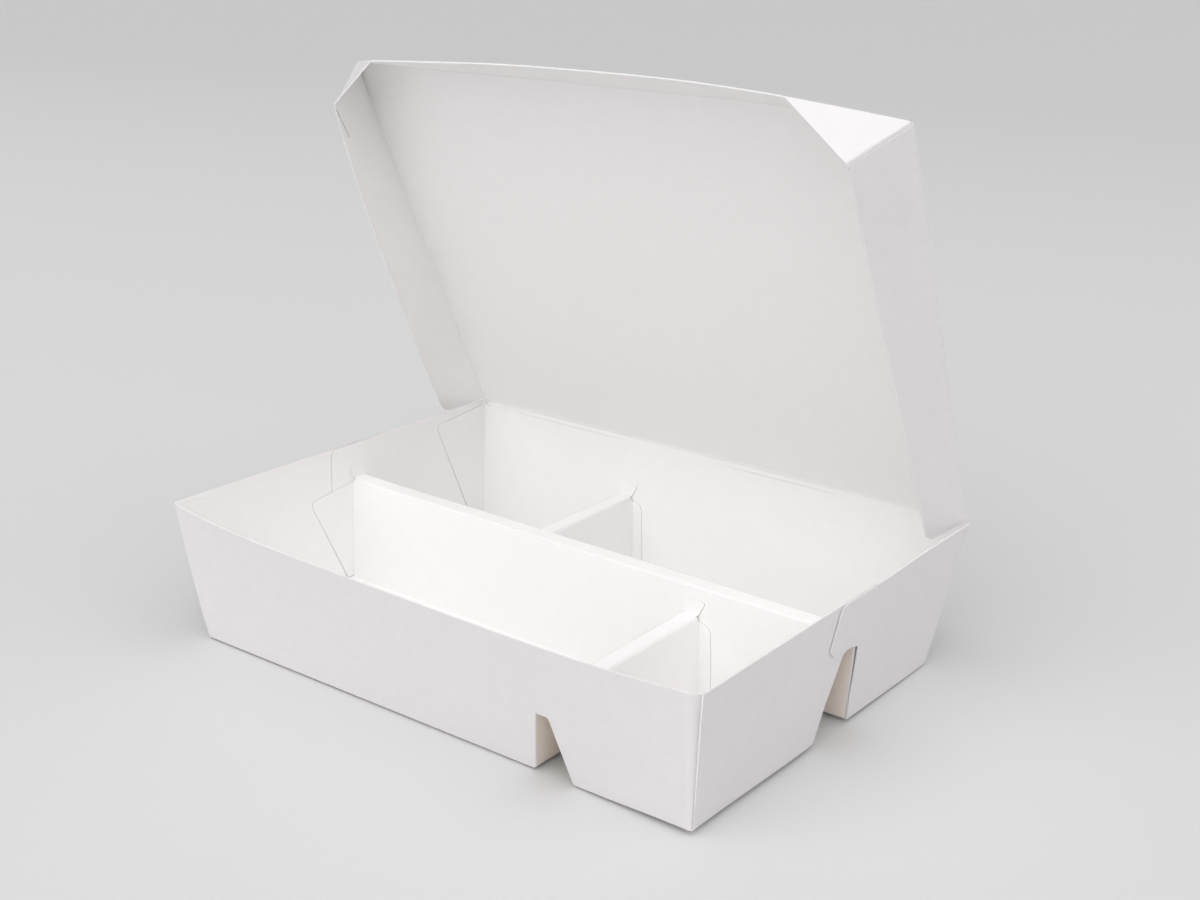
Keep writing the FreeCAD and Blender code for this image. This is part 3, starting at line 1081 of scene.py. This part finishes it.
    def build(self, finishes: BoardFinishes) -> bpy.types.Object:
        """Return the finished tray, made with these finishes."""
        sheet = CardSheet("tray_card")
        self.long_walls(sheet)
        self.mouth_flap(sheet)
        self.floors(sheet)
        self.long_ridge(sheet)
        self.glue_flaps(sheet)
        self.end_walls(sheet)
        for ridge in self.ridges.values():
            self.cross_ridge(sheet, ridge)
        sheet.bend_creases()
        sheet.turn_outwards()
        for direction in (Vector((1, 0, 0)), Vector((0, 1, 0)), Vector((0, 0, 1))):
            sheet.slice(direction, SLICE)
        sheet.shift(partial(self.overlap, CARD + self.seam_gap), Part.RIGHT_OVERLAP)
        sheet.shift(partial(self.overlap, self.left_seam_step), Part.LEFT_OVERLAP)
        sheet.shift(self.press_flap, Part.GLUE_FLAP)
        sheet.shift(self.bulge_front)
        sheet.shift(self.raise_foot)
        sheet.shift(self.skew_foot)
        sheet.shift(self.settle)
        piece = sheet.finish(finishes)
        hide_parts("tray")
        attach(piece, "tray")
        return piece


@dataclass
class Lid:
    """The lid: top, sides, front flap and glued corners, in millimetres.

    A place on it is given with the lid shut, as a distance along from the hinge and a
    depth below the top's inner face, and is then turned to the angle of rest.
    """

    hinge_y: float
    hinge_z: float
    open_angle: float = 65.5
    hinge_half: float = 114.2
    front_half: float = 115.1
    length: float = 159.2
    hinge_lap: float = 1.2
    side_lean: float = 19.1
    side_front_along: float = 157.9
    side_front_depth: float = 23.9
    side_rear_along: float = 4.6
    side_rear_depth: float = 17.6
    side_radius: float = 4.5
    edge_setback: float = 1.1
    tip_half: float = 84.8
    tip_along: float = 173.8
    tip_depth: float = 17.4
    tip_bow_along: float = 2.025
    tip_bow_up: float = 1.755
    glue_reach: float = 16.0
    glue_taper: float = 4.0
    glue_radius: float = 1.0
    twist: float = 45.0
    twist_from: float = 92.0
    twist_length: float = 155.0
    twist_start_depth: float = 3.0
    front_radius: float = 2.4
    pull_start: float = 95.0
    pull_middle: float = 2.2
    pull_tilt: float = -1.65
    pull_bow: float = -1.27
    nick_places: tuple[float, ...] = (2.5, -23.0)
    nick_half: float = 0.9
    nick_depth: float = 0.5
    slack_span: float = 70.0
    slack_depth: float = 0.8
    slack_start: float = 40.0

    @classmethod
    def from_frame(cls) -> "Lid":
        """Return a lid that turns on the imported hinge."""
        hinge = frame["joints"][0]["pos_m"]
        return cls(hinge_y=hinge[1] / MM, hinge_z=hinge[2] / MM)

    def turned(self, x: float, along: float, depth: float) -> Vector:
        """Return the place of a lid point at the angle of rest."""
        angle = math.radians(self.open_angle)
        y = self.hinge_y - along * math.cos(angle) - depth * math.sin(angle)
        z = self.hinge_z + along * math.sin(angle) - depth * math.cos(angle)
        return Vector((x, y, z))

    def shut(self, point: Vector) -> Vector:
        """Return the x, distance along and depth of a point at the angle of rest."""
        angle = math.radians(self.open_angle)
        back = self.hinge_y - point.y
        up = point.z - self.hinge_z
        along = back * math.cos(angle) + up * math.sin(angle)
        depth = back * math.sin(angle) - up * math.cos(angle)
        return Vector((point.x, along, depth))

    def half(self, along: float) -> float:
        """Return half the top's width at a distance from the hinge."""
        return self.hinge_half + (self.front_half - self.hinge_half) * along / self.length

    def on_side(self, hand: int, along: float, depth: float, inset: float = 0.0) -> Vector:
        """Return a point on a side's outer face, moved in by the inset."""
        lean = math.radians(self.side_lean)
        x = self.half(along) - (depth + CARD) * math.tan(lean) - inset / math.cos(lean)
        return self.turned(hand * x, along, depth)

    def free_edge(self, right: Vector, left: Vector, inward: Vector) -> list[Vector]:
        """Return the front flap's free edge with its small nicks.

        Args:
            right: the edge's right end.
            left: its left end.
            inward: a direction in the flap's plane, towards its crease.
        """
        along = (left - right).normalized()
        across = (inward - along * inward.dot(along)).normalized()
        outline = [right]
        for place in self.nick_places:
            middle = right + along * (self.tip_half - place)
            outline += [middle - along * self.nick_half, middle + across * self.nick_depth,
                        middle + along * self.nick_half]
        return [*outline, left]

    def panels(self, sheet: CardSheet) -> None:
        """Add the top, the front flap, the sides and the glued corners."""
        out = self.turned(0, 0, -1) - self.turned(0, 0, 0)
        forward = self.turned(0, 1, 0) - self.turned(0, 0, 0)
        gap = CARD + SEAT
        front = {hand: self.on_side(hand, self.length, -CARD) for hand in (-1, 1)}
        rear = {hand: self.on_side(hand, self.hinge_lap, -CARD) for hand in (-1, 1)}
        side_fold = {hand: Fold(rear[hand], front[hand], CREASE_TRIM, CORNER_TRIM)
                     for hand in (-1, 1)}
        front_fold = Fold(front[-1], front[1])
        sheet.panel([rear[-1], rear[1], front[1], front[-1]], out,
                    {1: side_fold[1], 2: front_fold, 3: side_fold[-1]})
        peak = {hand: self.on_side(hand, self.length, -CARD, gap) for hand in (-1, 1)}
        tip = {hand: self.turned(hand * self.tip_half, self.tip_along, self.tip_depth)
               for hand in (-1, 1)}
        tip_fold = {hand: Fold(peak[hand], tip[hand], CORNER_TRIM, CREASE_TRIM)
                    for hand in (-1, 1)}
        flap = [peak[-1], peak[1], *self.free_edge(tip[1], tip[-1], peak[1] - tip[1])]
        sheet.panel(flap, forward + out,
                    {0: front_fold, 1: tip_fold[1], len(flap) - 1: tip_fold[-1]},
                    part=Part.FRONT_FLAP)
        for hand in (-1, 1):
            low = self.on_side(hand, self.side_front_along, self.side_front_depth)
            side = [rear[hand],
                    self.on_side(hand, self.side_rear_along, self.side_rear_depth),
                    self.on_side(hand, self.side_front_along - self.edge_setback,
                                 self.side_front_depth),
                    self.on_side(hand, self.length - self.edge_setback, -CARD)]
            outward = Vector((hand, 0, 0))
            sheet.panel(side, outward, {3: side_fold[hand]},
                        {1: self.side_radius, 2: self.front_radius})
            inner_low = self.on_side(hand, self.side_front_along, self.side_front_depth, gap)
            low_fold = Fold(peak[hand], inner_low, CORNER_TRIM, CREASE_TRIM)
            sheet.panel([peak[hand], tip[hand], inner_low], outward + forward,
                        {0: tip_fold[hand], 2: low_fold})
            glue = [peak[hand], inner_low,
                    self.on_side(hand, self.side_front_along - self.glue_reach,
                                 self.side_front_depth - self.glue_taper, gap),
                    self.on_side(hand, self.length - self.glue_reach, self.glue_taper, gap)]
            sheet.panel(glue, outward, {0: low_fold},
                        {2: self.glue_radius, 3: self.glue_radius})

    def twist_left(self, point: Vector) -> Vector:
        """Return the outward turn of the left side, which grows towards the hinge."""
        x, along, depth = self.shut(point)
        if x > -self.twist_from or along > self.twist_length:
            return Vector((0, 0, 0))
        share = 1.0 - max(0.0, along) / self.twist_length
        angle = math.radians(self.twist) * share * smooth((depth + CARD) / self.twist_start_depth)
        inward = x + self.half(along)
        down = depth + CARD
        turned_in = inward * math.cos(angle) - down * math.sin(angle)
        turned_down = down * math.cos(angle) + inward * math.sin(angle)
        moved = self.turned(turned_in - self.half(along), along, turned_down - CARD)
        return moved - point

    def pull_front(self, point: Vector) -> Vector:
        """Return how the front crease bows forward, most at its left end."""
        x, along, depth = self.shut(point)
        across = x / self.front_half
        reach = self.pull_middle + self.pull_tilt * across + self.pull_bow * across * across
        near = smooth((along - self.pull_start) / (self.length - self.pull_start))
        high = min(1.0, max(0.0, (self.tip_depth - depth) / (self.tip_depth + CARD)))
        return self.turned(x, along + reach * near * high, depth) - point

    def bow_flap(self, point: Vector) -> Vector:
        """Return the outward bow of the front flap's free edge."""
        x, along, depth = self.shut(point)
        across = max(0.0, 1.0 - (x / self.tip_half) ** 2)
        out = smooth((along - self.length) / (self.tip_along - self.length))
        raised = self.turned(x, along + self.tip_bow_along * across * out,
                             depth - self.tip_bow_up * across * out)
        return raised - point

    def settle(self, point: Vector) -> Vector:
        """Return the lid's small unevenness at a point, none at the hinge."""
        stray = wander(point, self.slack_span, self.slack_depth)
        return stray * smooth(self.shut(point).y / self.slack_start)

    def build(self, finishes: BoardFinishes) -> bpy.types.Object:
        """Return the finished lid, made with these finishes."""
        sheet = CardSheet("lid_card")
        self.panels(sheet)
        sheet.bend_creases()
        sheet.turn_outwards()
        along = (self.turned(0, 1, 0) - self.turned(0, 0, 0)).normalized()
        down = (self.turned(0, 0, 1) - self.turned(0, 0, 0)).normalized()
        sheet.slice(Vector((1, 0, 0)), SLICE)
        sheet.slice(along, SLICE)
        sheet.slice(down, LID_DEPTH_SLICE)
        sheet.shift(self.pull_front)
        sheet.shift(self.bow_flap, Part.FRONT_FLAP)
        sheet.shift(self.twist_left)
        sheet.shift(self.settle)
        piece = sheet.finish(finishes)
        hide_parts("lid")
        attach(piece, "lid")
        return piece


@dataclass
class HingeCrease:
    """The scored crease between the rear wall and the lid, in millimetres."""

    tray: Tray
    lid: Lid
    half_length: float = 113.6
    bead: float = 0.10
    lap: float = 0.3
    wall_outer_stop: float = 0.5
    wall_inner_stop: float = 0.9
    lid_outer_start: float = 0.5
    lid_inner_start: float = 0.4
    bend_start: float = 1.1
    bend_end: float = 0.9
    stations: int = 60

    def section(self) -> tuple[list[Vector], list[Vector]]:
        """Return the crease's outer and inner lines, from the wall up to the lid."""
        rim = self.tray.height
        low = rim - self.tray.hinge_lap - self.lap
        high = self.lid.hinge_lap + self.lap
        outer = [self.tray.on_wall(1, 0, low),
                 self.tray.on_wall(1, 0, rim - self.wall_outer_stop),
                 self.lid.turned(0, self.lid_outer_start, -CARD),
                 self.lid.turned(0, high, -CARD)]
        inner = [self.tray.on_wall(1, 0, low, CARD),
                 self.tray.on_wall(1, 0, rim - self.wall_inner_stop, CARD),
                 self.lid.turned(0, self.lid_inner_start, 0), self.lid.turned(0, high, 0)]
        beaded = [inner[0]]
        for first, second in zip(inner, inner[1:]):
            beaded += [first.lerp(second, 0.5) + Vector((0, -self.bead, 0)), second]
        return outer, beaded

    def build(self, board: bpy.types.Material) -> bpy.types.Object:
        """Return the crease, shaped as it lies between the tray and the lid at rest."""
        outer, inner = self.section()
        loop = [*outer, *reversed(inner)]
        mesh = bmesh.new()
        rings = []
        for station in range(self.stations + 1):
            x = self.half_length * (2 * station / self.stations - 1)
            rings.append([mesh.verts.new((point + Vector((x, 0, 0))) * MM) for point in loop])
        for first, second in zip(rings, rings[1:]):
            for index in range(len(loop)):
                following = (index + 1) % len(loop)
                mesh.faces.new((first[index], second[index], second[following], first[following]))
        mesh.faces.new(rings[0])
        mesh.faces.new(rings[-1][::-1])
        bmesh.ops.recalc_face_normals(mesh, faces=mesh.faces[:])
        data = bpy.data.meshes.new("hinge_crease")
        mesh.to_mesh(data)
        mesh.free()
        data.materials.append(board)
        data.polygons.foreach_set("use_smooth", [True] * len(data.polygons))
        piece = add_object("hinge_crease", data)
        start = self.tray.on_wall(1, 0, self.tray.height - self.bend_start)
        end = self.lid.turned(0, self.bend_end, -CARD)
        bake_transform(piece)
        return piece


def towards(azimuth: float, elevation: float) -> Vector:
    """Return the direction from the box to a place at these angles, in degrees."""
    turn = math.radians(azimuth)
    rise = math.radians(elevation)
    return Vector((math.sin(turn) * math.cos(rise), -math.cos(turn) * math.cos(rise),
                   math.sin(rise)))


@dataclass(frozen=True)
class Softbox:
    """A wide, far lamp, as even as a clouded sky; its angles are in degrees."""

    name: str
    azimuth: float
    elevation: float
    width: float
    strength: float

    def hang(self) -> None:
        """Add the lamp to the scene."""
        data = bpy.data.lights.new(self.name, "SUN")
        data.angle = math.radians(self.width)
        data.energy = self.strength
        lamp = add_object(self.name, data)
        back = towards(self.azimuth, self.elevation)
        lamp.rotation_euler = (-back).to_track_quat("-Z", "Y").to_euler()


@dataclass
class Studio:
    """The floor, the lamps and the camera, in metres and degrees."""

    azimuth: float = 38.18
    elevation: float = 18.84
    roll: float = 0.56
    camera_place: tuple[float, float, float] = (0.3209, -0.3894, 0.2482)
    focal_pixels: float = 1530.0
    image_width: float = 1200.0
    sensor_width: float = 36.0
    clip_near: float = 0.01
    clip_far: float = 50.0
    floor_reach: float = 14.0
    floor_drop: float = 0.0006
    world_colour: str = "#FFFFFF"
    world_strength: float = 0.08
    softboxes: tuple[Softbox, ...] = (
        Softbox("overhead_softbox", azimuth=0.0, elevation=90.0, width=100.0, strength=0.93),
        Softbox("front_softbox", azimuth=0.0, elevation=40.0, width=80.0, strength=1.90),
        Softbox("right_softbox", azimuth=90.0, elevation=45.0, width=80.0, strength=1.04))

    def add_camera(self) -> None:
        """Place the camera as the photograph was taken."""
        turn = math.radians(self.azimuth)
        roll = math.radians(self.roll)
        back = towards(self.azimuth, self.elevation)
        level = Vector((math.cos(turn), math.sin(turn), 0))
        upright = back.cross(level)
        right = level * math.cos(roll) + upright * math.sin(roll)
        up = upright * math.cos(roll) - level * math.sin(roll)
        data = bpy.data.cameras.new("camera")
        data.sensor_width = self.sensor_width
        data.lens = self.focal_pixels * self.sensor_width / self.image_width
        data.clip_start = self.clip_near
        data.clip_end = self.clip_far
        camera = add_object("camera", data)
        stance = Matrix((right, up, back)).transposed().to_4x4()
        camera.matrix_world = Matrix.Translation(self.camera_place) @ stance
        bpy.context.scene.camera = camera

    def add_floor(self) -> None:
        """Lay the floor, which runs back past the top of the picture."""
        mesh = bmesh.new()
        reach = self.floor_reach
        corners = [(-reach, -reach), (reach, -reach), (reach, reach), (-reach, reach)]
        mesh.faces.new([mesh.verts.new((x, y, -self.floor_drop)) for x, y in corners])
        data = bpy.data.meshes.new("studio_floor")
        mesh.to_mesh(data)
        mesh.free()
        data.materials.append(PaintedFloor().build())
        floor = add_object("studio_floor", data)

    def add_light(self) -> None:
        """Light the box softly from above, from the front and from the right."""
        world = bpy.data.worlds.new("studio_air")
        bpy.context.scene.world = world
        world.use_nodes = True
        background = world.node_tree.nodes["Background"]
        background.inputs["Color"].default_value = to_linear(self.world_colour)
        background.inputs["Strength"].default_value = self.world_strength
        for softbox in self.softboxes:
            softbox.hang()

    def build(self) -> None:
        """Set up the whole studio."""
        bpy.context.scene.view_settings.view_transform = "Standard"
        self.add_camera()
        self.add_floor()
        self.add_light()


def main() -> None:
    """Build the box and its studio."""
    logging.basicConfig(level=logging.INFO, format="%(name)s: %(message)s")
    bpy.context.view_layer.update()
    Studio().build()
    finishes = BoardFinishes(
        tunnel=TunnelBoardPaintedLight().build(), outer=FoldingBoard().build(),
        food=CoatedFoodFacePaintedLight().build(), edge=CutBoardEdge().build())
    tray = Tray.from_frame()
    lid = Lid.from_frame()
    for piece in (tray.build(finishes), lid.build(finishes),
                  HingeCrease(tray, lid).build(finishes.food)):
        log.info("%s has %d faces", piece.name, len(piece.data.polygons))


if __name__ == "__main__":
    main()
